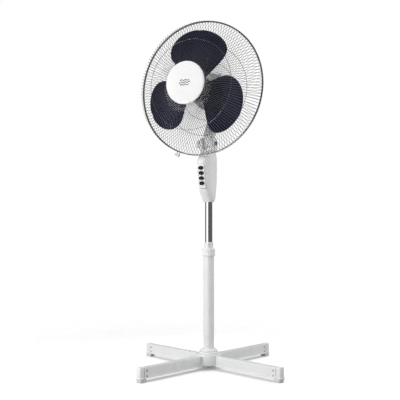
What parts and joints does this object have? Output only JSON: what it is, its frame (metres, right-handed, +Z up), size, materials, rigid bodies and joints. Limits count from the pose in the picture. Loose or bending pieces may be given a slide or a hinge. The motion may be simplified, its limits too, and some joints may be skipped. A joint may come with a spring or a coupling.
{
  "type": "pedestal fan",
  "caption": "White pedestal fan: crossed-bar base, telescopic column, push-button housing, tilting and oscillating head with a wire cage and dark blades.",
  "frame": {"origin": "on the floor, on the column's axis, under the crossing of the base bars", "axes": "+Z up along the column; the head and the buttons face -Y at rest; the base bars lie at 73 and -17 degrees from +X"},
  "size_m": [0.6074, 0.6074, 1.179],
  "materials": {
    "white_steel": "white powder coat, smooth satin",
    "white_plastic": "white moulded plastic, satin",
    "white_gloss": "white moulded plastic, glossy",
    "foot_rubber": "grey rubber, matte",
    "plated_wire": "bright plated wire",
    "blade_plastic": "dark navy translucent plastic, glossy",
    "black_plastic": "black moulded plastic",
    "chrome": "polished",
    "zinc_steel": "zinc plated",
    "cast_alloy": "die cast, matte",
    "laminated_steel": "laminated, varnished",
    "nylon": "natural nylon"
  },
  "bodies": {
    "base": {"base_bar_lower": "white_steel", "base_bar_upper": "white_steel", "end_cap_1": "white_plastic", "end_cap_2": "white_plastic", "end_cap_3": "white_plastic", "end_cap_4": "white_plastic", "foot_pad_1": "foot_rubber", "foot_pad_2": "foot_rubber", "foot_pad_3": "foot_rubber", "foot_pad_4": "foot_rubber", "base_hub": "white_plastic", "hub_flange": "white_plastic", "tube_collar": "white_plastic", "base_clamp_disc": "zinc_steel", "base_bolt": "zinc_steel", "tube_plug": "nylon", "outer_tube": "white_steel", "height_sleeve": "white_plastic"},
    "height_nut": {"height_nut": "white_plastic"},
    "tube_guide": {"tube_bush": "nylon"},
    "column": {"inner_tube": "chrome", "control_housing_front": "white_plastic", "control_housing_rear": "white_plastic", "button_panel": "white_gloss", "switch_block": "black_plastic", "run_capacitor": "black_plastic", "cord_inlet": "foot_rubber", "housing_screw_lower": "zinc_steel", "housing_screw_upper": "zinc_steel", "tilt_yoke": "white_plastic", "tilt_bolt": "zinc_steel"},
    "button_off": {"speed_button_0": "black_plastic"},
    "button_1": {"speed_button_1": "black_plastic"},
    "button_2": {"speed_button_2": "black_plastic"},
    "button_3": {"speed_button_3": "black_plastic"},
    "tilt_knob": {"tilt_knob": "white_plastic"},
    "neck": {"neck": "white_plastic"},
    "head": {"motor_front_bracket": "cast_alloy", "stator": "laminated_steel", "motor_rear_bracket": "cast_alloy", "front_bearing": "zinc_steel", "rear_bearing": "zinc_steel", "gear_housing": "cast_alloy", "gear_cover": "cast_alloy", "motor_cover": "white_plastic", "front_grille": "plated_wire", "rear_grille": "plated_wire", "grille_nut": "white_plastic", "badge_disc": "white_gloss", "rim_band": "plated_wire", "band_screw": "zinc_steel"},
    "clutch_knob": {"clutch_knob": "white_plastic"},
    "rotor": {"fan_blade": "blade_plastic", "blade_nut": "blade_plastic", "rotor_shaft": "zinc_steel", "rotor_core": "laminated_steel"},
    "worm_wheel": {"worm_wheel": "nylon"},
    "crank": {"crank_gear": "nylon", "crank_disc": "zinc_steel"},
    "crank_link": {"crank_link": "zinc_steel"}
  },
  "joints": [
    {"name": "height_nut_turn", "type": "hinge", "parent": "base", "child": "height_nut", "pos_m": [0, 0, 0.395], "axis": [0, 0, 1], "range_deg": [0, 270]},
    {"name": "height_slide", "type": "slide", "parent": "base", "child": "tube_guide", "axis": [0, 0, 1], "range_m": [-0.125, 0.085]},
    {"name": "column_turn", "type": "hinge", "parent": "tube_guide", "child": "column", "pos_m": [0, 0, 0.23], "axis": [0, 0, 1], "range_deg": [-170, 170]},
    {"name": "button_off_press", "type": "slide", "parent": "column", "child": "button_off", "axis": [0, 1, 0], "range_m": [0, 0.004], "stiffness_N_per_m": 300},
    {"name": "button_1_press", "type": "slide", "parent": "column", "child": "button_1", "axis": [0, 1, 0], "range_m": [0, 0.004], "stiffness_N_per_m": 300},
    {"name": "button_2_press", "type": "slide", "parent": "column", "child": "button_2", "axis": [0, 1, 0], "range_m": [0, 0.004], "stiffness_N_per_m": 300},
    {"name": "button_3_press", "type": "slide", "parent": "column", "child": "button_3", "axis": [0, 1, 0], "range_m": [0, 0.004], "stiffness_N_per_m": 300},
    {"name": "tilt_knob_turn", "type": "hinge", "parent": "column", "child": "tilt_knob", "pos_m": [-0.031, 0, 0.768], "axis": [-1, 0, 0], "range_deg": [0, 270]},
    {"name": "head_tilt", "type": "hinge", "parent": "column", "child": "neck", "pos_m": [0, 0, 0.768], "axis": [-1, 0, 0], "range_deg": [-5, 20]},
    {"name": "head_oscillation", "type": "hinge", "parent": "neck", "child": "head", "pos_m": [0, 0.03, 0.88], "axis": [0, 0, 1], "range_deg": [-38, 38]},
    {"name": "crank_link_swing", "type": "hinge", "parent": "neck", "child": "crank_link", "pos_m": [0.027, 0.03, 0.879], "axis": [0, 0, 1], "range_deg": [-40, 40]},
    {"name": "clutch_pull", "type": "slide", "parent": "head", "child": "clutch_knob", "axis": [0, 0, 1], "range_m": [0, 0.008]},
    {"name": "rotor_spin", "type": "hinge", "parent": "head", "child": "rotor", "pos_m": [0, -0.094, 0.95], "axis": [0, 1, 0], "continuous": true},
    {"name": "worm_wheel_spin", "type": "hinge", "parent": "head", "child": "worm_wheel", "pos_m": [0.015, 0.077, 0.95], "axis": [0, 0, 1], "continuous": true},
    {"name": "crank_spin", "type": "hinge", "parent": "head", "child": "crank", "pos_m": [0.0205, 0.0925, 0.9], "axis": [0, 0, 1], "continuous": true}
  ],
  "couplings": [
    {"joint": "worm_wheel_spin", "follows": "rotor_spin", "ratio": 0.03125},
    {"joint": "crank_spin", "follows": "rotor_spin", "ratio": -0.0044643},
    {"joint": "crank_link_swing", "follows": "head_oscillation", "ratio": 1}
  ]
}
